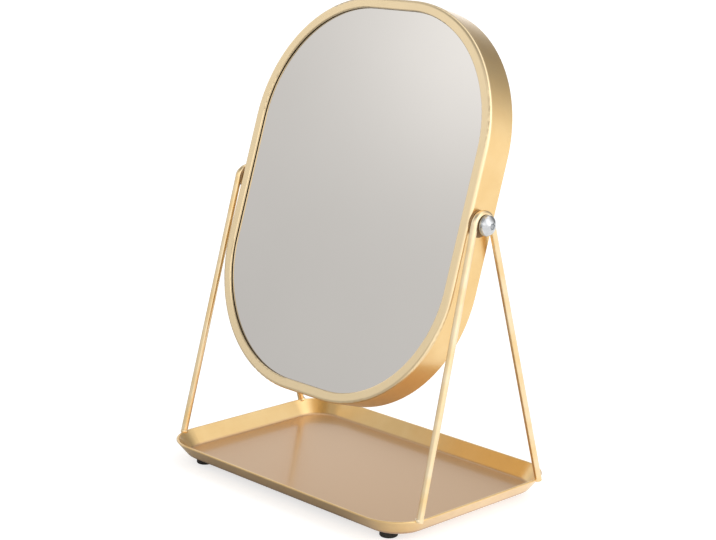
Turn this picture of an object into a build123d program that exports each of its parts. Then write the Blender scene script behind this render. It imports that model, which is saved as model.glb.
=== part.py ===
from build123d import *
from math import acos, atan2, cos, hypot, radians, sin, sqrt
import os

# Tabletop tilting mirror: a deep metal frame on two inverted V wires over an open tray.
# Millimetres, +Z up, the glass faces -Y. The origin is the middle of the surface that the feet stand on.

# ---- tray ----
tray_width = 180.0  # across the rim, left to right
tray_depth = 117.0  # across the rim, front to back
tray_rise = 8.7  # underside to rim
tray_flare = 7.1  # how far a wall leans out over its rise
tray_corner_radius = 22.0  # at the rim, seen from above
tray_sheet = 1.2
tray_bend_radius = 2.0  # inside the bend between floor and wall
rim_round = 0.4

# ---- rubber feet ----
foot_diameter = 9.0
foot_height = 4.0
foot_inset_x = 20.5  # foot centre to the rim's side
foot_inset_y = 15.0  # foot centre to the rim's front or back
foot_round = 0.8

# ---- stand wires ----
rod_diameter = 3.5
leg_inset_x = 0.3  # rod centre inside the rim's outer edge
leg_inset_y = 15.9  # rod centre to the rim's front or back
leg_weld_depth = 1.0  # how far the rod reaches below the rim, outside it
loop_radius = 6.0  # centre line of the bend at the top
loop_drop = 0.8  # bend centre below the pivot axis
pivot_height = 147.4  # pivot axis above the surface

# ---- mirror frame ----
frame_width = 164.2
frame_height = 203.0
frame_corner_radius = 68.4
frame_depth = 16.8
frame_sheet = 1.2
lip_width = 5.4  # frame's outer edge to the visible glass
frame_edge_round = 1.6
lip_edge_round = 0.5
pivot_setback = 6.5  # pivot axis behind the frame's front
rest_tilt = 17.6  # degrees that the mirror leans back at rest

# ---- glass, pad, board and cover ----
glass_thickness = 2.0
glass_gap = 2.6  # glass edge to the frame's inner wall
pad_thickness = 0.8
pad_gap = 6.5
board_gap = 1.0
cover_sheet = 0.8
cover_head_gap = 0.4  # bracket screws' heads to the cover
cover_skirt = 2.5  # from its outer face, forward
cover_gap = 0.3
cover_round = 0.7

# ---- pivot hardware ----
thread_diameter = 4.0
thread_clearance = 0.05
shank_clearance = 0.15
pivot_gap = 0.25  # wire to bush flange, and wire to washer
bush_flange_diameter = 13.0
bush_flange_thickness = 1.3
sleeve_clearance = 0.08  # sleeve to the inside of the loop
washer_diameter = 10.0
washer_thickness = 1.0
head_diameter = 9.6
head_height = 3.2
head_edge = 0.9  # straight rim under the dome
socket_width = 3.0  # hexagon socket, across its flats
socket_depth = 1.8
bracket_sheet = 1.5
bracket_width = 16.0
bracket_leg = 20.0  # along the board
bracket_bend = 0.8  # inside the bend
bracket_front_gap = 0.3  # behind the frame's lip
bracket_nut_gap = 0.9  # nut to the bracket's leg on the board
nut_diameter = 6.2
nut_length = 4.0
nut_spigot_diameter = 4.8
notch_clearance = 0.5

# ---- small screws ----
small_screw_diameter = 3.0
small_head_diameter = 5.8
small_head_height = 1.6
small_head_round = 0.6
recess_span = 3.0  # cross recess in a small screw's head, end to end
recess_width = 0.7
recess_depth = 0.9
bracket_screw_length = 5.0
bracket_screw_inset = 4.0  # from the bracket's free end
bracket_screw_pitch = 8.0
cover_screw_tip_gap = 0.8  # screw tips to the board's front face
cover_screw_inset_x = 34.0  # from the frame's side
cover_screw_inset_y = 34.0  # from the frame's top or bottom
spacer_diameter = 8.0

# ---- places worked out from the sizes ----
rim_height = foot_height + tray_rise
rod_radius = rod_diameter / 2
leg_y = tray_depth / 2 - leg_inset_y
corner_start = tray_depth / 2 - tray_corner_radius
corner_reach = max(leg_y - corner_start, 0.0)
rim_x = tray_width / 2 - tray_corner_radius + sqrt(tray_corner_radius**2 - corner_reach**2)
leg_x = rim_x - leg_inset_x
loop_x = frame_width / 2 + bush_flange_thickness + pivot_gap + rod_radius
loop_height = pivot_height - loop_drop
sleeve_radius = loop_radius - rod_radius - loop_drop - sleeve_clearance
washer_x = loop_x + rod_radius + pivot_gap
head_x = washer_x + washer_thickness
inner_x = frame_width / 2 - frame_sheet
glass_front = frame_sheet
pad_front = glass_front + glass_thickness
board_front = pad_front + pad_thickness
board_back = pivot_setback + nut_diameter / 2 + bracket_nut_gap
bracket_back = board_back + bracket_sheet
cover_front = bracket_back + small_head_height + cover_head_gap
cover_back = cover_front + cover_sheet
bracket_x = inner_x - bracket_sheet
nut_x = bracket_x - nut_length
bore_radius = thread_diameter / 2 + shank_clearance
thread_bore = thread_diameter / 2 + thread_clearance
small_bore = small_screw_diameter / 2 + thread_clearance

# The mirror's own plane: x to the right, y up the glass, z out of the glass, pivot axis through its origin.
mirror_plane = Plane(
    origin=(0, 0, pivot_height),
    x_dir=(1, 0, 0),
    z_dir=(0, -cos(radians(rest_tilt)), sin(radians(rest_tilt))),
)

mirror_out = Axis(origin=mirror_plane.origin, direction=mirror_plane.z_dir)
pivot_axis = Axis(origin=mirror_plane.origin, direction=(1, 0, 0))

os.makedirs("parts", exist_ok=True)


def layer(depth):
    """Plane across the mirror, at a depth behind the frame's front."""
    return mirror_plane.offset(pivot_setback - depth)


def outline(inset):
    """The frame's rounded outline, moved in by a distance on every side."""
    RectangleRounded(frame_width - 2 * inset, frame_height - 2 * inset, frame_corner_radius - inset)


def side_plane(side, x):
    """Plane across the pivot axis, facing away from the mirror on one side."""
    return Plane(origin=(side * x, 0, pivot_height), x_dir=mirror_plane.y_dir, z_dir=(side, 0, 0))


def save(piece, name):
    """Label a finished piece and write it to its own file."""
    piece.part.label = name
    export_step(piece.part, f"parts/{name}.step")


# ---- tray ----
with BuildPart() as tray_shape:
    with BuildSketch(Plane.XY.offset(foot_height)):
        RectangleRounded(
            tray_width - 2 * tray_flare,
            tray_depth - 2 * tray_flare,
            tray_corner_radius - tray_flare,
        )
    with BuildSketch(Plane.XY.offset(rim_height)):
        RectangleRounded(tray_width, tray_depth, tray_corner_radius)
    loft(ruled=True)

with BuildPart() as tray:
    add(tray_shape.part)
    fillet(tray.faces().sort_by(Axis.Z)[0].edges(), tray_bend_radius + tray_sheet)
    offset(amount=-tray_sheet, openings=tray.faces().sort_by(Axis.Z)[-1])
    fillet(tray.faces().sort_by(Axis.Z)[-1].edges(), rim_round)
save(tray, "tray")

# ---- rubber feet ----
for row, end in (("front", -1), ("back", 1)):
    for hand, side in (("left", -1), ("right", 1)):
        foot_x = side * (tray_width / 2 - foot_inset_x)
        foot_y = end * (tray_depth / 2 - foot_inset_y)
        with BuildPart() as foot:
            with BuildSketch(Plane.XY):
                with Locations((foot_x, foot_y)):
                    Circle(foot_diameter / 2)
            extrude(amount=foot_height)
            fillet(foot.faces().sort_by(Axis.Z)[0].edges(), foot_round)
        save(foot, f"foot_{row}_{hand}")

# ---- stand wires ----
# Each wire lies in a plane that leans out from the pivot to the rim. In that plane the legs are
# tangent to the bend, so the bend's end angle follows from where the foot is.
leg_drop = loop_height - (rim_height - leg_weld_depth)
leg_lean = leg_x - loop_x
leg_run = hypot(leg_drop, leg_lean)
foot_distance = hypot(leg_y, leg_run)
bend_end = atan2(-leg_run, leg_y) + acos(loop_radius / foot_distance)

for hand, side in (("left", -1), ("right", 1)):
    wire_plane = Plane(
        origin=(side * loop_x, 0, loop_height),
        x_dir=(0, 1, 0),
        z_dir=(leg_drop / leg_run, 0, side * leg_lean / leg_run),
    )
    with BuildPart() as stand_wire:
        with BuildLine(wire_plane) as wire_path:
            tangent_x = loop_radius * cos(bend_end)
            tangent_y = loop_radius * sin(bend_end)
            Line((-leg_y, -leg_run), (-tangent_x, tangent_y))
            ThreePointArc((-tangent_x, tangent_y), (0, loop_radius), (tangent_x, tangent_y))
            Line((tangent_x, tangent_y), (leg_y, -leg_run))
        with BuildSketch(Plane(origin=wire_path.line @ 0, z_dir=wire_path.line % 0)):
            Circle(rod_radius)
        sweep(path=wire_path.line)
        add(tray_shape.part, mode=Mode.SUBTRACT)
    save(stand_wire, f"{hand}_stand_wire")

# ---- mirror frame ----
with BuildPart() as mirror_frame:
    with BuildSketch(layer(0)):
        outline(0)
    extrude(amount=-frame_depth)
    fillet(mirror_frame.faces().sort_by(mirror_out)[-1].edges(), frame_edge_round)
    with BuildSketch(layer(frame_sheet)):
        outline(frame_sheet)
    extrude(amount=-frame_depth, mode=Mode.SUBTRACT)
    with BuildSketch(layer(0)):
        outline(lip_width)
    extrude(amount=-frame_sheet, mode=Mode.SUBTRACT)
    fillet(mirror_frame.faces().sort_by(mirror_out)[-1].inner_wires()[0].edges(), lip_edge_round)
    with BuildSketch(side_plane(1, 0)):
        Circle(bore_radius)
    extrude(amount=frame_width, both=True, mode=Mode.SUBTRACT)
save(mirror_frame, "mirror_frame")

# ---- glass, pad and board ----
with BuildPart() as mirror_glass:
    with BuildSketch(layer(glass_front)):
        outline(frame_sheet + glass_gap)
    extrude(amount=-glass_thickness)
save(mirror_glass, "mirror_glass")

with BuildPart() as foam_pad:
    with BuildSketch(layer(pad_front)):
        outline(frame_sheet + pad_gap)
    extrude(amount=-pad_thickness)
save(foam_pad, "foam_pad")

cover_screw_x = frame_width / 2 - cover_screw_inset_x
cover_screw_y = frame_height / 2 - cover_screw_inset_y
cover_screw_length = cover_back - board_front - cover_screw_tip_gap
bracket_end_x = inner_x - bracket_leg
bracket_screw_x = [bracket_end_x + bracket_screw_inset + n * bracket_screw_pitch for n in (0, 1)]
bracket_screw_points = [(side * x, 0) for side in (-1, 1) for x in bracket_screw_x]
cover_screw_points = [(sx * cover_screw_x, sy * cover_screw_y) for sx in (-1, 1) for sy in (-1, 1)]
notch_end_x = nut_x - notch_clearance
notch_length = frame_width / 2 - notch_end_x
notch_centre_x = notch_end_x + notch_length / 2

with BuildPart() as backing_board:
    with BuildSketch(layer(board_front)):
        outline(frame_sheet + board_gap)
        with Locations((-notch_centre_x, 0), (notch_centre_x, 0)):
            Rectangle(notch_length, bracket_width + 2 * notch_clearance, mode=Mode.SUBTRACT)
        with Locations(*bracket_screw_points, *cover_screw_points):
            Circle(small_bore, mode=Mode.SUBTRACT)
    extrude(amount=board_front - board_back)
save(backing_board, "backing_board")

# ---- back cover, its spacers and screws ----
with BuildPart() as back_cover:
    with BuildSketch(layer(cover_back)):
        outline(frame_sheet + cover_gap)
    extrude(amount=cover_skirt)
    fillet(back_cover.faces().sort_by(mirror_out)[0].edges(), cover_round)
    with BuildSketch(layer(cover_front)):
        outline(frame_sheet + cover_gap + cover_sheet)
    extrude(amount=cover_skirt, mode=Mode.SUBTRACT)
    with BuildSketch(layer(cover_back)):
        with Locations(*cover_screw_points):
            Circle(small_bore)
    extrude(amount=cover_sheet, mode=Mode.SUBTRACT)
save(back_cover, "back_cover")

with BuildPart() as cover_spacers:
    with BuildSketch(layer(board_back)):
        with Locations(*cover_screw_points):
            Circle(spacer_diameter / 2)
            Circle(small_bore, mode=Mode.SUBTRACT)
    extrude(amount=board_back - cover_front)
save(cover_spacers, "cover_spacers")


def small_screws(seat_depth, points, length):
    """Cross-recessed screws driven forward into the board, their heads on a face at seat_depth."""
    with BuildPart() as screws:
        with BuildSketch(layer(seat_depth)):
            with Locations(*points):
                Circle(small_screw_diameter / 2)
        extrude(amount=length)
        with BuildSketch(layer(seat_depth)):
            with Locations(*points):
                Circle(small_head_diameter / 2)
        extrude(amount=-small_head_height)
        fillet(screws.faces().group_by(mirror_out)[0].edges(), small_head_round)
        with BuildSketch(layer(seat_depth + small_head_height)):
            with Locations(*points):
                Rectangle(recess_span, recess_width)
                Rectangle(recess_width, recess_span)
        extrude(amount=recess_depth, mode=Mode.SUBTRACT)
    return screws


save(small_screws(cover_back, cover_screw_points, cover_screw_length), "cover_screws")
save(small_screws(bracket_back, bracket_screw_points, bracket_screw_length), "bracket_screws")


def turning_plane(side):
    """Plane through the pivot axis: x is the distance from the mirror's middle, y the radius."""
    return Plane(origin=mirror_plane.origin, x_dir=(side, 0, 0), z_dir=(0, -side, 0))


def turned(side, *profile):
    """A piece turned round the pivot axis on one side, from its half profile."""
    with BuildPart() as piece:
        with BuildSketch(turning_plane(side)):
            with BuildLine():
                Polyline(*profile, close=True)
            make_face()
        revolve(axis=pivot_axis)
    return piece


# ---- pivot hardware, the same on both sides ----
spigot_radius = nut_spigot_diameter / 2
flange_x = frame_width / 2 + bush_flange_thickness
bracket_middle_x = inner_x - bracket_sheet / 2
bracket_front_y = pivot_setback - frame_sheet - bracket_front_gap
bracket_leg_y = pivot_setback - board_back - bracket_sheet / 2

# The domed head: its crown is an arc through the rim's edge, a middle point and the top.
head_radius = head_diameter / 2
head_top_x = head_x + head_height
dome_rise = head_height - head_edge
dome_radius = (head_radius**2 + dome_rise**2) / (2 * dome_rise)
dome_centre_x = head_top_x - dome_radius
dome_half_angle = atan2(head_radius, dome_radius - dome_rise) / 2
dome_middle = (
    dome_centre_x + dome_radius * cos(dome_half_angle),
    dome_radius * sin(dome_half_angle),
)

for hand, side in (("left", -1), ("right", 1)):
    # Across the bracket's bend: x is the distance from the mirror's middle, y points out of the glass.
    bend_plane = Plane(
        origin=mirror_plane.origin,
        x_dir=(side, 0, 0),
        z_dir=-side * mirror_plane.y_dir,
    )
    with BuildPart() as pivot_bracket:
        with BuildSketch(bend_plane):
            with BuildLine():
                FilletPolyline(
                    (bracket_middle_x, bracket_front_y),
                    (bracket_middle_x, bracket_leg_y),
                    (bracket_end_x, bracket_leg_y),
                    radius=bracket_bend + bracket_sheet / 2,
                )
            trace(line_width=bracket_sheet)
        extrude(amount=bracket_width / 2, both=True)
        with BuildSketch(side_plane(side, bracket_x)):
            Circle(spigot_radius)
        extrude(amount=bracket_sheet, mode=Mode.SUBTRACT)
        with BuildSketch(layer(board_back)):
            with Locations(*[(side * x, 0) for x in bracket_screw_x]):
                Circle(small_bore)
        extrude(amount=-bracket_sheet, mode=Mode.SUBTRACT)
    save(pivot_bracket, f"{hand}_pivot_bracket")

    pivot_nut = turned(
        side,
        (nut_x, thread_bore),
        (nut_x, nut_diameter / 2),
        (bracket_x, nut_diameter / 2),
        (bracket_x, spigot_radius),
        (inner_x, spigot_radius),
        (inner_x, thread_bore),
    )
    save(pivot_nut, f"{hand}_pivot_nut")

    pivot_bush = turned(
        side,
        (frame_width / 2, bore_radius),
        (frame_width / 2, bush_flange_diameter / 2),
        (flange_x, bush_flange_diameter / 2),
        (flange_x, sleeve_radius),
        (washer_x, sleeve_radius),
        (washer_x, bore_radius),
    )
    save(pivot_bush, f"{hand}_pivot_bush")

    screw_washer = turned(
        side,
        (washer_x, bore_radius),
        (washer_x, washer_diameter / 2),
        (head_x, washer_diameter / 2),
        (head_x, bore_radius),
    )
    save(screw_washer, f"{hand}_screw_washer")

    with BuildPart() as pivot_screw:
        with BuildSketch(turning_plane(side)):
            with BuildLine():
                Polyline(
                    (head_top_x, 0),
                    (nut_x, 0),
                    (nut_x, thread_diameter / 2),
                    (head_x, thread_diameter / 2),
                    (head_x, head_radius),
                    (head_x + head_edge, head_radius),
                )
                ThreePointArc((head_x + head_edge, head_radius), dome_middle, (head_top_x, 0))
            make_face()
        revolve(axis=pivot_axis)
        with BuildSketch(side_plane(side, head_top_x)):
            RegularPolygon(socket_width / 2, 6, major_radius=False)
        extrude(amount=-socket_depth, mode=Mode.SUBTRACT)
    save(pivot_screw, f"{hand}_pivot_screw")
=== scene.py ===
import math

import bpy
from bpy.props import FloatProperty, FloatVectorProperty, PointerProperty
from bpy.types import Operator, Panel, PropertyGroup
from mathutils import Matrix, Vector


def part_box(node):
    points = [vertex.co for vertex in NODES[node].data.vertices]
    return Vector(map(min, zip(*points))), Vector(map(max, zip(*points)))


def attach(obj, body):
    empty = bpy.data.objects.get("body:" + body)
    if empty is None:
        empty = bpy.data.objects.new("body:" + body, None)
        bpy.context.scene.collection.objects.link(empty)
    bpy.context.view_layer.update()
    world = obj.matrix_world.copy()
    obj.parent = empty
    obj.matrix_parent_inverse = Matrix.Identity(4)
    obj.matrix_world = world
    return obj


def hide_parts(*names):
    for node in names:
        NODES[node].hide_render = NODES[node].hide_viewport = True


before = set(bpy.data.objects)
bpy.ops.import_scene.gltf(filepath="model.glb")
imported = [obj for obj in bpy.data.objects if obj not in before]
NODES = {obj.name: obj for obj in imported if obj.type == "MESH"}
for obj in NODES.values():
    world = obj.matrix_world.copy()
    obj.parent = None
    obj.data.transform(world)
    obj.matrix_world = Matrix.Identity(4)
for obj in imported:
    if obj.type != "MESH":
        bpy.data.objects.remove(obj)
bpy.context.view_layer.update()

bl_info = {
    "name": "Tilting Mirror on a Tray",
    "version": (1, 0, 0),
    "blender": (4, 5, 0),
    "location": "View3D > Sidebar > Mirror",
    "description": "Dresses a tabletop tilting mirror with its finishes, weld beads and a studio",
    "category": "Object",
}

MM = 0.001
SIDES = {"left": -1, "right": 1}
ENDS = {"front": -1, "back": 1}

# The pivot axis runs through the middles of the two round screw heads.
HEAD_LOW, HEAD_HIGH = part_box("right_pivot_screw")
PIVOT = Vector((0, (HEAD_LOW.y + HEAD_HIGH.y) / 2, (HEAD_LOW.z + HEAD_HIGH.z) / 2))

# At rest the mirror leans back by this angle, and its front faces this way.
REST_TILT = math.radians(17.6)
FACING = Vector((0, -math.cos(REST_TILT), math.sin(REST_TILT)))

# The tray is sprayed matt up to the first height, and is as glossy as its walls from the second.
TRAY_LOW, TRAY_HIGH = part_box("tray")
RIM_HEIGHT = TRAY_HIGH.z
MATT_UP_TO = TRAY_LOW.z + 1.3 * MM
GLOSSY_FROM = TRAY_LOW.z + 2.4 * MM

# How far behind the frame's front the painted highlight on its lip, a paler gold, fades in from,
# and where it is full.
LIP_FADE_FROM = 2.2 * MM
LIP_FADE_TO = 1.0 * MM

# In the glass plate, points nearer than this are one, and faces that turn less than this are flat.
MERGE_WITHIN = 0.001 * MM
FLAT_WITHIN = math.radians(0.2)

# A weld bead starts as a ring of so many segments, with so many around its section.
BEAD_SEGMENTS = 28
BEAD_SECTION = 10
# It is drawn in to this share of its width, so that it hugs the rod.
BEAD_DRAWN_IN = 0.86
# Its lumps come from this seed, and are smoothed by this share.
BEAD_SEED = 5
BEAD_SMOOTHED = 0.5

# The studio's soft areas of light: the azimuth of each, from straight in front towards the right,
# its elevation, both in degrees, and how fast it fades away from its middle.
SOFT_AREAS = {
    "right_strip": (96, 10, 10),
    "right_wall": (130, 2, 7),
    "right_softbox": (95, 42, 12),
    "backdrop": (226, 2, 10),
    "top_softbox": (155, 60, 14),
    "top_fill": (231, 63, 15),
    "left_reflector": (282, 21, 10),
    "front_softbox": (333, 8, 7),
    "glass_glow": (315, 21, 250),
    "near_reflector": (14, 32, 10),
    "camera_fill": (52, 14, 12),
}

# A painted glow on the floor, seen only where metal and glass mirror it, grows towards this
# azimuth: it is none up to the first distance from the middle, and full from the second.
FLOOR_GLOW_TOWARDS = 115
FLOOR_GLOW_STARTS_AT = 10 * MM
FLOOR_GLOW_FULL_FROM = 85 * MM

FLOOR_RADIUS = 6000 * MM
FLOOR_SEGMENTS = 96
SENSOR_WIDTH = 36.0  # in millimetres, as Blender takes it

# Most of a noise texture's values lie between these two.
NOISE_LOW = 0.3
NOISE_HIGH = 0.7


# ---- colours and nodes ----
def linear(hex_colour):
    """The linear values of an sRGB hex colour, with full alpha."""
    levels = [int(hex_colour[i : i + 2], 16) / 255 for i in (1, 3, 5)]
    return (*[c / 12.92 if c <= 0.04045 else ((c + 0.055) / 1.055) ** 2.4 for c in levels], 1.0)


def add_node(tree, kind, inputs=None, **settings):
    """A node with its settings, each input given as a value or as the socket that feeds it.

    A Mix node's sockets go by number: 0 is the share, 2 and 3 are numbers, which leave mixed by
    output 0, and 6 and 7 are colours, which leave mixed by output 2.
    """
    node = tree.nodes.new(kind)
    for name, value in settings.items():
        setattr(node, name, value)
    for name, value in (inputs or {}).items():
        if isinstance(value, bpy.types.NodeSocket):
            tree.links.new(value, node.inputs[name])
        else:
            node.inputs[name].default_value = value
    return node


def finish(name, colour, deep_colour, blotch_mm, gloss, grain_mm, relief_mm, **shader_inputs):
    """A finish whose colour and gloss vary in soft blotches over a fine grain in relief.

    gloss is the lowest and highest roughness, which vary in patches half as wide as the colour's
    blotches, and relief_mm is the grain's height from low to high.
    """
    material = bpy.data.materials.new(name)
    material.use_nodes = True
    tree = material.node_tree
    tree.nodes.clear()
    place = add_node(tree, "ShaderNodeTexCoord").outputs["Object"]
    blotch = add_node(
        tree, "ShaderNodeTexNoise", {"Vector": place, "Scale": 1 / (blotch_mm * MM), "Detail": 3.0}
    )
    depth = add_node(
        tree,
        "ShaderNodeMapRange",
        {"Value": blotch.outputs["Fac"], "From Min": NOISE_LOW, "From Max": NOISE_HIGH},
    )
    shade = add_node(
        tree,
        "ShaderNodeMix",
        {0: depth.outputs["Result"], 6: tuple(colour), 7: tuple(deep_colour)},
        data_type="RGBA",
    )
    patch = add_node(
        tree, "ShaderNodeTexNoise", {"Vector": place, "Scale": 2 / (blotch_mm * MM), "Detail": 1.0}
    )
    rough = add_node(
        tree,
        "ShaderNodeMapRange",
        {
            "Value": patch.outputs["Fac"],
            "From Min": NOISE_LOW,
            "From Max": NOISE_HIGH,
            "To Min": gloss[0],
            "To Max": gloss[1],
        },
    )
    grain = add_node(
        tree, "ShaderNodeTexNoise", {"Vector": place, "Scale": 1 / (grain_mm * MM), "Detail": 1.0}
    )
    bump = add_node(
        tree,
        "ShaderNodeBump",
        {"Height": grain.outputs["Fac"], "Distance": relief_mm * MM, "Strength": 1.0},
    )
    shader = add_node(
        tree,
        "ShaderNodeBsdfPrincipled",
        {
            "Base Color": shade.outputs[2],
            "Roughness": rough.outputs["Result"],
            "Normal": bump.outputs["Normal"],
            **{label.replace("_", " "): value for label, value in shader_inputs.items()},
        },
    )
    add_node(tree, "ShaderNodeOutputMaterial", {"Surface": shader.outputs["BSDF"]})
    return material


def give(material, *nodes):
    """Puts a material on the pieces that came with the frame."""
    for name in nodes:
        mesh = NODES[name].data
        mesh.materials.clear()
        mesh.materials.append(material)


# ---- sizes and colours that can be changed ----
class MirrorFinishes(PropertyGroup):
    """Colours and gloss of the mirror's finishes, and how deep its silver appears."""

    gold: FloatVectorProperty(
        name="Gold lacquer",
        description="Colour of the satin gold finish on the frame, back cover and tray",
        subtype="COLOR",
        size=4,
        min=0.0,
        max=1.0,
        default=linear("#F0CE92"),
    )
    gold_deep: FloatVectorProperty(
        name="Gold lacquer, thick",
        description="Colour of the gold finish where the lacquer lies a little thicker",
        subtype="COLOR",
        size=4,
        min=0.0,
        max=1.0,
        default=linear("#EBC687"),
    )
    # Painted highlight: a paler gold laid on the frame's front lip, standing in for the bright
    # highlights on its bend.
    lip_highlight_gold: FloatVectorProperty(
        name="Lip lacquer",
        description="Colour of the paler gold finish on the frame's rolled front lip",
        subtype="COLOR",
        size=4,
        min=0.0,
        max=1.0,
        default=linear("#F4DCB0"),
    )
    # Painted highlight: the wires' gold is paler than the frame's, standing in for the whiter
    # highlights along them.
    wire_highlight_gold: FloatVectorProperty(
        name="Wire lacquer",
        description="Colour of the paler gold finish on the stand's wires",
        subtype="COLOR",
        size=4,
        min=0.0,
        max=1.0,
        default=linear("#F5E2BF"),
    )
    gold_roughness: FloatProperty(
        name="Gold roughness",
        description="How satin the gold finish is",
        subtype="FACTOR",
        default=0.30,
        min=0.0,
        max=1.0,
    )
    tray_floor: FloatVectorProperty(
        name="Tray floor",
        description="Colour of the tray's floor, a matter and pinker gold",
        subtype="COLOR",
        size=4,
        min=0.0,
        max=1.0,
        default=linear("#D1AA7D"),
    )
    floor_roughness: FloatProperty(
        name="Tray floor roughness",
        description="How satin the tray's floor is",
        subtype="FACTOR",
        default=0.34,
        min=0.0,
        max=1.0,
    )
    silver: FloatVectorProperty(
        name="Silvering",
        description="Colour that the silvered glass mirrors",
        subtype="COLOR",
        size=4,
        min=0.0,
        max=1.0,
        default=linear("#D7D3CE"),
    )
    silver_deep: FloatVectorProperty(
        name="Silvering, thin",
        description="Colour that the silvered glass mirrors where the silver is a little thinner",
        subtype="COLOR",
        size=4,
        min=0.0,
        max=1.0,
        default=linear("#D5D1CC"),
    )
    silver_depth: FloatProperty(
        name="Silver depth",
        description="How deep behind the glass's front the silver appears",
        unit="LENGTH",
        subtype="DISTANCE",
        default=0.45 * MM,
        min=0.0,
        max=1.9 * MM,
    )


class MirrorWelds(PropertyGroup):
    """Sizes of the weld beads where the wires stand on the tray's rim."""

    rod_diameter: FloatProperty(
        name="Rod diameter",
        description="Thickness of the stand's wire",
        unit="LENGTH",
        subtype="DISTANCE",
        default=3.5 * MM,
        min=1 * MM,
    )
    leg: FloatProperty(
        name="Bead leg",
        description="How far the bead reaches up the rod and out over the rim",
        unit="LENGTH",
        subtype="DISTANCE",
        default=0.9 * MM,
        min=0.2 * MM,
    )
    lumps: FloatProperty(
        name="Lumps",
        description="Unevenness of the bead's surface",
        unit="LENGTH",
        subtype="DISTANCE",
        default=0.12 * MM,
        min=0.0,
    )


class MirrorStudio(PropertyGroup):
    """Camera and light of the studio."""

    azimuth: FloatProperty(
        name="Azimuth",
        description="Where the camera stands, from straight in front towards the right",
        unit="ROTATION",
        subtype="ANGLE",
        default=math.radians(46.16),
    )
    elevation: FloatProperty(
        name="Elevation",
        description="How high the camera stands above the horizon",
        unit="ROTATION",
        subtype="ANGLE",
        default=math.radians(13.16),
    )
    distance: FloatProperty(
        name="Distance",
        description="Camera to the point that it looks at",
        unit="LENGTH",
        subtype="DISTANCE",
        default=862.3 * MM,
    )
    roll: FloatProperty(
        name="Roll",
        description="How far the camera leans to its left",
        unit="ROTATION",
        subtype="ANGLE",
        default=math.radians(0.53),
    )
    target: FloatVectorProperty(
        name="Looks at",
        description="Point in the middle of the picture",
        unit="LENGTH",
        subtype="XYZ",
        default=(0.7 * MM, 0.7 * MM, 110.8 * MM),
    )
    focal_length: FloatProperty(
        name="Focal length",
        description="Lens of the camera, on a sensor 36 mm wide",
        unit="CAMERA",
        default=85.5,
    )
    room_light: FloatProperty(
        name="Room",
        description="Level of the even light all around",
        default=0.13,
        min=0.0,
    )
    right_strip: FloatProperty(
        name="Right strip",
        description="Level of the strip light at the right, low",
        default=1.2,
        min=0.0,
    )
    right_wall: FloatProperty(
        name="Right wall",
        description="Level of the wide white wall at the right, a little behind",
        default=1.1,
        min=0.0,
    )
    right_softbox: FloatProperty(
        name="Right softbox",
        description="Level of the softbox high at the right",
        default=1.35,
        min=0.0,
    )
    backdrop: FloatProperty(
        name="Backdrop",
        description="Level of the white backdrop, behind the object as the camera sees it",
        default=1.2,
        min=0.0,
    )
    top_softbox: FloatProperty(
        name="Top softbox",
        description="Level of the softbox overhead, a little behind",
        default=1.2,
        min=0.0,
    )
    top_fill: FloatProperty(
        name="Top fill",
        description="Level of the fill light overhead, behind at the left",
        default=0.9,
        min=0.0,
    )
    left_reflector: FloatProperty(
        name="Left reflector",
        description="Level of the reflector at the left",
        default=0.87,
        min=0.0,
    )
    front_softbox: FloatProperty(
        name="Front softbox",
        description="Level of the softbox in front at the left, which the glass mirrors",
        default=0.685,
        min=0.0,
    )
    glass_glow: FloatProperty(
        name="Glass glow",
        description="Level of the small softbox that glows in the glass's upper right",
        default=0.45,
        min=0.0,
    )
    near_reflector: FloatProperty(
        name="Near reflector",
        description="Level of the reflector high in front, left of the camera",
        default=0.98,
        min=0.0,
    )
    camera_fill: FloatProperty(
        name="Camera fill",
        description="Level of the fill light behind the camera",
        default=1.1,
        min=0.0,
    )
    floor_glow: FloatProperty(
        name="Floor glow",
        description="How much the floor's bright side is raised to white where metal mirrors it",
        subtype="FACTOR",
        default=0.6,
        min=0.0,
        max=1.0,
    )
    floor_lift: FloatProperty(
        name="Floor lift",
        description="How much the floor is raised to white where it is seen straight",
        subtype="FACTOR",
        default=0.66,
        min=0.0,
        max=1.0,
    )


# ---- finishes ----
def satin_gold(finishes, name, colour, deep_colour):
    """Gold-coloured metallic lacquer on steel, baked under a clear coat.

    The metal flakes mirror softly, a little deeper where the spray lay thicker; the clear coat
    over them pales the edges that are seen at a slant.
    """
    gloss = finishes.gold_roughness
    return finish(
        name,
        colour,
        deep_colour,
        blotch_mm=14.0,
        gloss=(gloss - 0.02, gloss + 0.02),
        grain_mm=0.9,  # orange peel, drawn a little coarser than the real one, to show
        relief_mm=0.0006,
        Metallic=1.0,
        Coat_Weight=0.6,
        Coat_Roughness=0.12,
    )


def matt_floor(material, finishes):
    """The tray's floor is sprayed matter and pinker, up to where the sheet bends into the walls."""
    tree = material.node_tree
    shader = tree.nodes["Principled BSDF"]
    place = add_node(tree, "ShaderNodeTexCoord").outputs["Object"]
    height = add_node(tree, "ShaderNodeSeparateXYZ", {"Vector": place}).outputs["Z"]
    on_floor = add_node(
        tree,
        "ShaderNodeMapRange",
        {
            "Value": height,
            "From Min": MATT_UP_TO,
            "From Max": GLOSSY_FROM,
            "To Min": 1.0,
            "To Max": 0.0,
        },
        interpolation_type="SMOOTHSTEP",
    ).outputs["Result"]
    for name, kind, wall_in, floor_in, out, value in (
        ("Base Color", "RGBA", 6, 7, 2, tuple(finishes.tray_floor)),
        ("Roughness", "FLOAT", 2, 3, 0, finishes.floor_roughness),
    ):
        wall = shader.inputs[name].links[0].from_socket
        mixed = add_node(
            tree, "ShaderNodeMix", {0: on_floor, wall_in: wall, floor_in: value}, data_type=kind
        )
        tree.links.new(mixed.outputs[out], shader.inputs[name])


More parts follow.
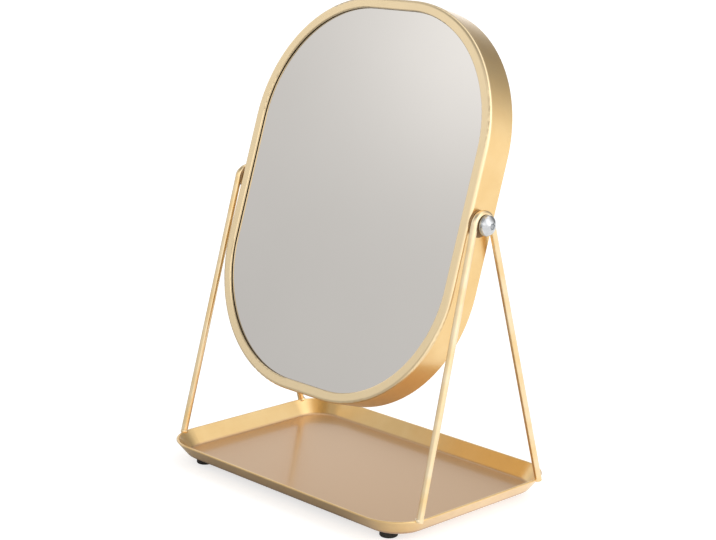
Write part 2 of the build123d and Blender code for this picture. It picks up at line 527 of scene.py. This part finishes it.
def paint_lip_highlight(material, finishes):
    """The frame's rolled front lip gets a painted highlight: a paler gold than on its sides."""
    tree = material.node_tree
    shader = tree.nodes["Principled BSDF"]
    place = add_node(tree, "ShaderNodeTexCoord").outputs["Object"]
    forward = add_node(tree, "ShaderNodeVectorMath", {0: place, 1: FACING}, operation="DOT_PRODUCT")
    front = max(vertex.co.dot(FACING) for vertex in NODES["mirror_frame"].data.vertices)
    lip_highlight_mask = add_node(
        tree,
        "ShaderNodeMapRange",
        {
            "Value": forward.outputs["Value"],
            "From Min": front - LIP_FADE_FROM,
            "From Max": front - LIP_FADE_TO,
        },
        interpolation_type="SMOOTHSTEP",
    )
    body = shader.inputs["Base Color"].links[0].from_socket
    # Painted highlight: the lip is mixed towards the paler gold.
    paler = add_node(
        tree,
        "ShaderNodeMix",
        {0: lip_highlight_mask.outputs["Result"], 6: body, 7: tuple(finishes.lip_highlight_gold)},
        data_type="RGBA",
    )
    tree.links.new(paler.outputs[2], shader.inputs["Base Color"])


class MIRROR_OT_spray_gold(Operator):
    """Give the tray, wires, frame and back cover their satin gold finish"""

    bl_idname = "mirror.spray_gold"
    bl_label = "Spray the Gold"

    def execute(self, context):
        finishes = context.scene.mirror_finishes
        gold, deep = finishes.gold, finishes.gold_deep
        # The frame's lacquer carries the painted highlight on its lip.
        frame_gold_and_lip_highlight = satin_gold(finishes, "satin_gold_frame_with_lip_highlight", gold, deep)
        paint_lip_highlight(frame_gold_and_lip_highlight, finishes)
        give(frame_gold_and_lip_highlight, "mirror_frame", "back_cover")
        # The wires' paler gold is a painted highlight.
        wire_highlight_gold = satin_gold(finishes, "satin_gold_lacquer_wire_painted_highlight", finishes.wire_highlight_gold, gold)
        give(wire_highlight_gold, "left_stand_wire", "right_stand_wire")
        tray_gold = satin_gold(finishes, "satin_gold_lacquer_tray", gold, deep)
        matt_floor(tray_gold, finishes)
        give(tray_gold, "tray")
        return {"FINISHED"}


class MIRROR_OT_silver_glass(Operator):
    """Silver the glass plate behind the lip"""

    bl_idname = "mirror.silver_glass"
    bl_label = "Silver the Glass"

    def execute(self, context):
        # The glass is silvered on its back. Its clear front doesn't show, and through it the silver
        # looks nearer than it is, so the plate is drawn as a mirror whose front lies at that depth:
        # the lip's back is mirrored in it as a thin dark line, as in a real plate.
        finishes = context.scene.mirror_finishes
        glass = NODES["mirror_glass"]
        plate = bpy.data.objects.new("silvered_plate", glass.data.copy())
        context.collection.objects.link(plate)
        bpy.ops.object.select_all(action="DESELECT")
        plate.select_set(True)
        context.view_layer.objects.active = plate
        bpy.ops.object.mode_set(mode="EDIT")
        bpy.ops.mesh.select_all(action="SELECT")
        bpy.ops.mesh.remove_doubles(threshold=MERGE_WITHIN)
        bpy.ops.mesh.dissolve_limited(angle_limit=FLAT_WITHIN)
        bpy.ops.object.mode_set(mode="OBJECT")
        depths = [(vertex.co - PIVOT).dot(FACING) for vertex in plate.data.vertices]
        middle = (min(depths) + max(depths)) / 2
        for edge in plate.data.edges:
            edge.select = False
        for face in plate.data.polygons:
            face.select = False
        for vertex, depth in zip(plate.data.vertices, depths):
            vertex.select = depth > middle
        bpy.ops.object.mode_set(mode="EDIT")
        bpy.ops.mesh.select_mode(type="VERT")
        bpy.ops.transform.translate(value=-finishes.silver_depth * FACING)
        bpy.ops.object.mode_set(mode="OBJECT")
        # Float glass silvered behind: a clear mirror, a touch warm and grey, polished flat.
        silver = finish(
            "silvered_float_glass",
            finishes.silver,
            finishes.silver_deep,
            blotch_mm=60.0,
            gloss=(0.010, 0.020),
            grain_mm=40.0,
            relief_mm=0.0,
            Metallic=1.0,
        )
        give(silver, "mirror_glass")
        plate.data.materials.clear()
        plate.data.materials.append(silver)
        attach(plate, "mirror")
        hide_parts("mirror_glass")
        return {"FINISHED"}


class MIRROR_OT_finish_hardware(Operator):
    """Give the screws, washers, bushes, feet and inner pieces their finishes"""

    bl_idname = "mirror.finish_hardware"
    bl_label = "Finish the Hardware"

    def execute(self, context):
        # Bright chrome plate on a turned steel screw: a hard, clear mirror.
        chrome = finish(
            "bright_chrome_plate",
            linear("#D2D3D4"),
            linear("#C2C4C6"),
            blotch_mm=1.5,
            gloss=(0.06, 0.13),
            grain_mm=0.4,
            relief_mm=0.001,
            Metallic=1.0,
        )
        give(chrome, "left_pivot_screw", "right_pivot_screw")
        # Bright zinc plate on the washers, in full view: grey, softly bright.
        washer_zinc = self.zinc_plate("bright_zinc_plate", "#CFCFCB")
        give(washer_zinc, "left_screw_washer", "right_screw_washer")
        # Zinc-plated steel inside the mirror and on its back: duller, cloudy from the bath.
        inner_zinc = self.zinc_plate("zinc_plated_steel", "#B9BBBA")
        pivot_steel = [f"{hand}_pivot_{piece}" for hand in SIDES for piece in ("bracket", "nut")]
        give(inner_zinc, *pivot_steel, "bracket_screws", "cover_screws", "cover_spacers")
        # Moulded nylon, brown: a waxy sheen over a fine spark-eroded grain.
        nylon = finish(
            "moulded_nylon",
            linear("#A67E4A"),
            linear("#8E6A3C"),
            blotch_mm=3.0,
            gloss=(0.42, 0.52),
            grain_mm=0.15,
            relief_mm=0.006,
            IOR=1.53,
        )
        give(nylon, "left_pivot_bush", "right_pivot_bush")
        # Moulded rubber: near black, dull, dusty in patches and finely pitted.
        rubber = finish(
            "moulded_rubber",
            linear("#17140F"),
            linear("#2A2620"),
            blotch_mm=2.0,
            gloss=(0.60, 0.78),
            grain_mm=0.2,
            relief_mm=0.02,
            IOR=1.52,
        )
        give(rubber, *[f"foot_{row}_{hand}" for row in ENDS for hand in SIDES])
        # Hard-pressed fibreboard: brown felted fibres with darker flecks.
        fibreboard = finish(
            "pressed_fibreboard",
            linear("#8A6A48"),
            linear("#6A4D31"),
            blotch_mm=1.2,
            gloss=(0.78, 0.86),
            grain_mm=0.5,
            relief_mm=0.05,
            IOR=1.50,
        )
        give(fibreboard, "backing_board")
        # Closed-cell polyethylene foam sheet: off-white, matt, with small cells.
        foam = finish(
            "polyethylene_foam",
            linear("#F1F0EB"),
            linear("#D9D8D2"),
            blotch_mm=0.8,
            gloss=(0.86, 0.92),
            grain_mm=0.8,
            relief_mm=0.08,
            IOR=1.50,
        )
        give(foam, "foam_pad")
        return {"FINISHED"}

    @staticmethod
    def zinc_plate(name, hex_colour):
        """Zinc plate on pressed or turned steel, softly bright and a little clouded."""
        return finish(
            name,
            linear(hex_colour),
            linear("#9EA1A2"),
            blotch_mm=2.5,
            gloss=(0.28, 0.42),
            grain_mm=0.3,
            relief_mm=0.002,
            Metallic=1.0,
        )


# ---- weld beads ----
class MIRROR_OT_lay_welds(Operator):
    """Lay a brazed bead around each foot of the wires, where it stands on the tray's rim"""

    bl_idname = "mirror.lay_welds"
    bl_label = "Lay the Weld Beads"

    def execute(self, context):
        welds = context.scene.mirror_welds
        rod_radius = welds.rod_diameter / 2
        wire_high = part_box("right_stand_wire")[1]
        leg_x = wire_high.x - rod_radius
        leg_y = wire_high.y - rod_radius
        lean = math.atan2(leg_y, PIVOT.z - RIM_HEIGHT)
        pattern = self.shape_bead(rod_radius, welds.leg, welds.lumps)
        for row, end in ENDS.items():
            for hand, side in SIDES.items():
                bead = pattern.copy()
                bead.data = pattern.data.copy()
                bead.name = f"weld_bead_{row}_{hand}"
                context.collection.objects.link(bead)
                # The bead lies inwards of the rod, so that it stays within the wire's outer side.
                bead.location = (side * (leg_x - welds.leg / 2), end * leg_y, RIM_HEIGHT)
                # The left beads are turned half round, and the way that they lean turns with them.
                bead.rotation_euler = (end * side * lean, 0, math.radians(90 - 90 * side))
                bpy.ops.object.select_all(action="DESELECT")
                bead.select_set(True)
                context.view_layer.objects.active = bead
                bpy.ops.object.transform_apply(location=True, rotation=True, scale=True)
                # The bead takes the wire's lacquer, with its painted highlight.
                bead.data.materials.append(NODES[f"{hand}_stand_wire"].data.materials[0])
                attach(bead, "stand")
        bpy.data.objects.remove(pattern)
        return {"FINISHED"}

    @staticmethod
    def shape_bead(rod_radius, leg, lumps):
        """One bead at the origin: a ring that hugs the rod, flatter across and a little lumpy."""
        bpy.ops.object.select_all(action="DESELECT")
        bpy.ops.mesh.primitive_torus_add(
            major_radius=rod_radius,
            minor_radius=leg,
            major_segments=BEAD_SEGMENTS,
            minor_segments=BEAD_SECTION,
        )
        bead = bpy.context.active_object
        bpy.ops.object.mode_set(mode="EDIT")
        bpy.ops.transform.resize(value=(BEAD_DRAWN_IN, BEAD_DRAWN_IN, 1.0))
        across = (rod_radius + leg / 2) / (rod_radius + leg)
        bpy.ops.transform.resize(value=(across, 1.0, 1.0))
        bpy.ops.transform.vertex_random(offset=lumps, seed=BEAD_SEED)
        bpy.ops.mesh.vertices_smooth(factor=BEAD_SMOOTHED)
        bpy.ops.object.mode_set(mode="OBJECT")
        rounding = bead.modifiers.new("rounding", "SUBSURF")
        rounding.levels = rounding.render_levels = 1
        bpy.ops.object.modifier_apply(modifier=rounding.name)
        bpy.ops.object.shade_smooth()
        return bead


# ---- studio ----
def heading(azimuth, elevation):
    """The direction at an azimuth, from straight in front towards the right, and an elevation."""
    return Vector((
        math.sin(azimuth) * math.cos(elevation),
        -math.cos(azimuth) * math.cos(elevation),
        math.sin(elevation),
    ))


class MIRROR_OT_set_stage(Operator):
    """Set the floor, the soft light all around and the camera"""

    bl_idname = "mirror.set_stage"
    bl_label = "Set the Stage"

    def execute(self, context):
        studio = context.scene.mirror_studio
        context.scene.view_settings.view_transform = "Standard"
        self.lay_floor(studio)
        self.light_studio(context.scene, studio)
        self.place_camera(context, studio)
        return {"FINISHED"}

    @staticmethod
    def lay_floor(studio):
        """A matt paper floor that shows white in the picture and keeps the object's shadow."""
        bpy.ops.object.select_all(action="DESELECT")
        bpy.ops.mesh.primitive_circle_add(
            vertices=FLOOR_SEGMENTS, radius=FLOOR_RADIUS, fill_type="NGON"
        )
        floor = bpy.context.active_object
        floor.name = "studio_floor"
        # Matt photo paper, a little grey, which sends less light up under the object.
        material = bpy.data.materials.new("matt_photo_paper")
        material.use_nodes = True
        tree = material.node_tree
        tree.nodes.clear()
        paper = add_node(tree, "ShaderNodeBsdfDiffuse", {"Color": linear("#CECECE")})
        path = add_node(tree, "ShaderNodeLightPath")
        reflected = add_node(
            tree,
            "ShaderNodeMath",
            {0: path.outputs["Is Glossy Ray"], 1: path.outputs["Is Transmission Ray"]},
            operation="MAXIMUM",
        )
        # Painted glow, seen only in reflections: the floor glows white towards the right and fades
        # towards the left.
        place = add_node(tree, "ShaderNodeTexCoord").outputs["Object"]
        glow_side = heading(math.radians(FLOOR_GLOW_TOWARDS), 0)
        along = add_node(
            tree, "ShaderNodeVectorMath", {0: place, 1: glow_side}, operation="DOT_PRODUCT"
        )
        glow_here = add_node(
            tree,
            "ShaderNodeMapRange",
            {
                "Value": along.outputs["Value"],
                "From Min": FLOOR_GLOW_STARTS_AT,
                "From Max": FLOOR_GLOW_FULL_FROM,
                "To Min": 0.0,
                "To Max": studio.floor_glow,
            },
            interpolation_type="SMOOTHSTEP",
        )
        mirrored = add_node(
            tree,
            "ShaderNodeMath",
            {0: reflected.outputs["Value"], 1: glow_here.outputs["Result"]},
            operation="MULTIPLY",
        )
        lift = add_node(
            tree,
            "ShaderNodeMath",
            {0: path.outputs["Is Camera Ray"], 1: studio.floor_lift, 2: mirrored.outputs["Value"]},
            operation="MULTIPLY_ADD",
        )
        glow = add_node(tree, "ShaderNodeEmission", {"Strength": lift.outputs["Value"]})
        both = add_node(
            tree, "ShaderNodeAddShader", {0: paper.outputs["BSDF"], 1: glow.outputs["Emission"]}
        )
        add_node(tree, "ShaderNodeOutputMaterial", {"Surface": both.outputs["Shader"]})
        floor.data.materials.append(material)

    @staticmethod
    def light_studio(scene, studio):
        """Soft areas of light all around, and plain white behind the object to the camera."""
        world = bpy.data.worlds.new("white_studio")
        scene.world = world
        world.use_nodes = True
        tree = world.node_tree
        tree.nodes.clear()
        direction = add_node(tree, "ShaderNodeTexCoord").outputs["Generated"]
        level = studio.room_light
        for name, (azimuth, elevation, fade) in SOFT_AREAS.items():
            middle = heading(math.radians(azimuth), math.radians(elevation))
            near = add_node(
                tree, "ShaderNodeVectorMath", {0: direction, 1: middle}, operation="DOT_PRODUCT"
            )
            fall = add_node(
                tree,
                "ShaderNodeMath",
                {0: near.outputs["Value"], 1: fade, 2: -fade},
                operation="MULTIPLY_ADD",
            )
            area = add_node(
                tree, "ShaderNodeMath", {0: fall.outputs["Value"]}, operation="EXPONENT"
            )
            level = add_node(
                tree,
                "ShaderNodeMath",
                {0: area.outputs["Value"], 1: getattr(studio, name), 2: level},
                operation="MULTIPLY_ADD",
            ).outputs["Value"]
        white = linear("#FFFFFF")
        lit = add_node(tree, "ShaderNodeBackground", {"Color": white, "Strength": level})
        seen = add_node(tree, "ShaderNodeBackground", {"Color": white, "Strength": 1.0})
        is_camera = add_node(tree, "ShaderNodeLightPath").outputs["Is Camera Ray"]
        whole = add_node(
            tree,
            "ShaderNodeMixShader",
            {0: is_camera, 1: lit.outputs["Background"], 2: seen.outputs["Background"]},
        )
        add_node(tree, "ShaderNodeOutputWorld", {"Surface": whole.outputs["Shader"]})

    @staticmethod
    def place_camera(context, studio):
        """The camera, at its distance from the point that it looks at."""
        bpy.ops.object.camera_add()
        camera = context.active_object
        camera.name = "studio_camera"
        camera.data.sensor_width = SENSOR_WIDTH
        camera.data.lens = studio.focal_length
        target = Vector(studio.target)
        eye = target + heading(studio.azimuth, studio.elevation) * studio.distance
        turn = (target - eye).to_track_quat("-Z", "Y").to_matrix().to_4x4()
        roll = Matrix.Rotation(studio.roll, 4, "Z")
        camera.matrix_world = Matrix.Translation(eye) @ turn @ roll
        context.scene.camera = camera


class MIRROR_PT_sidebar(Panel):
    """Lists the sizes and colours, and the steps that dress the mirror"""

    bl_idname = "MIRROR_PT_sidebar"
    bl_label = "Tilting Mirror"
    bl_space_type = "VIEW_3D"
    bl_region_type = "UI"
    bl_category = "Mirror"

    def draw(self, context):
        column = self.layout.column()
        for name, group in GROUPS.items():
            for setting in group.__annotations__:
                column.prop(getattr(context.scene, name), setting)
        for step in STEPS:
            column.operator(step.bl_idname)


GROUPS = {
    "mirror_finishes": MirrorFinishes,
    "mirror_welds": MirrorWelds,
    "mirror_studio": MirrorStudio,
}
STEPS = (
    MIRROR_OT_spray_gold,
    MIRROR_OT_silver_glass,
    MIRROR_OT_finish_hardware,
    MIRROR_OT_lay_welds,
    MIRROR_OT_set_stage,
)
CLASSES = (*GROUPS.values(), *STEPS, MIRROR_PT_sidebar)


def register():
    for kind in CLASSES:
        bpy.utils.register_class(kind)
    for name, group in GROUPS.items():
        setattr(bpy.types.Scene, name, PointerProperty(type=group))


def unregister():
    for name in GROUPS:
        delattr(bpy.types.Scene, name)
    for kind in reversed(CLASSES):
        bpy.utils.unregister_class(kind)


def main():
    register()
    bpy.ops.mirror.spray_gold()
    bpy.ops.mirror.silver_glass()
    bpy.ops.mirror.finish_hardware()
    bpy.ops.mirror.lay_welds()
    bpy.ops.mirror.set_stage()


if __name__ == "__main__":
    main()
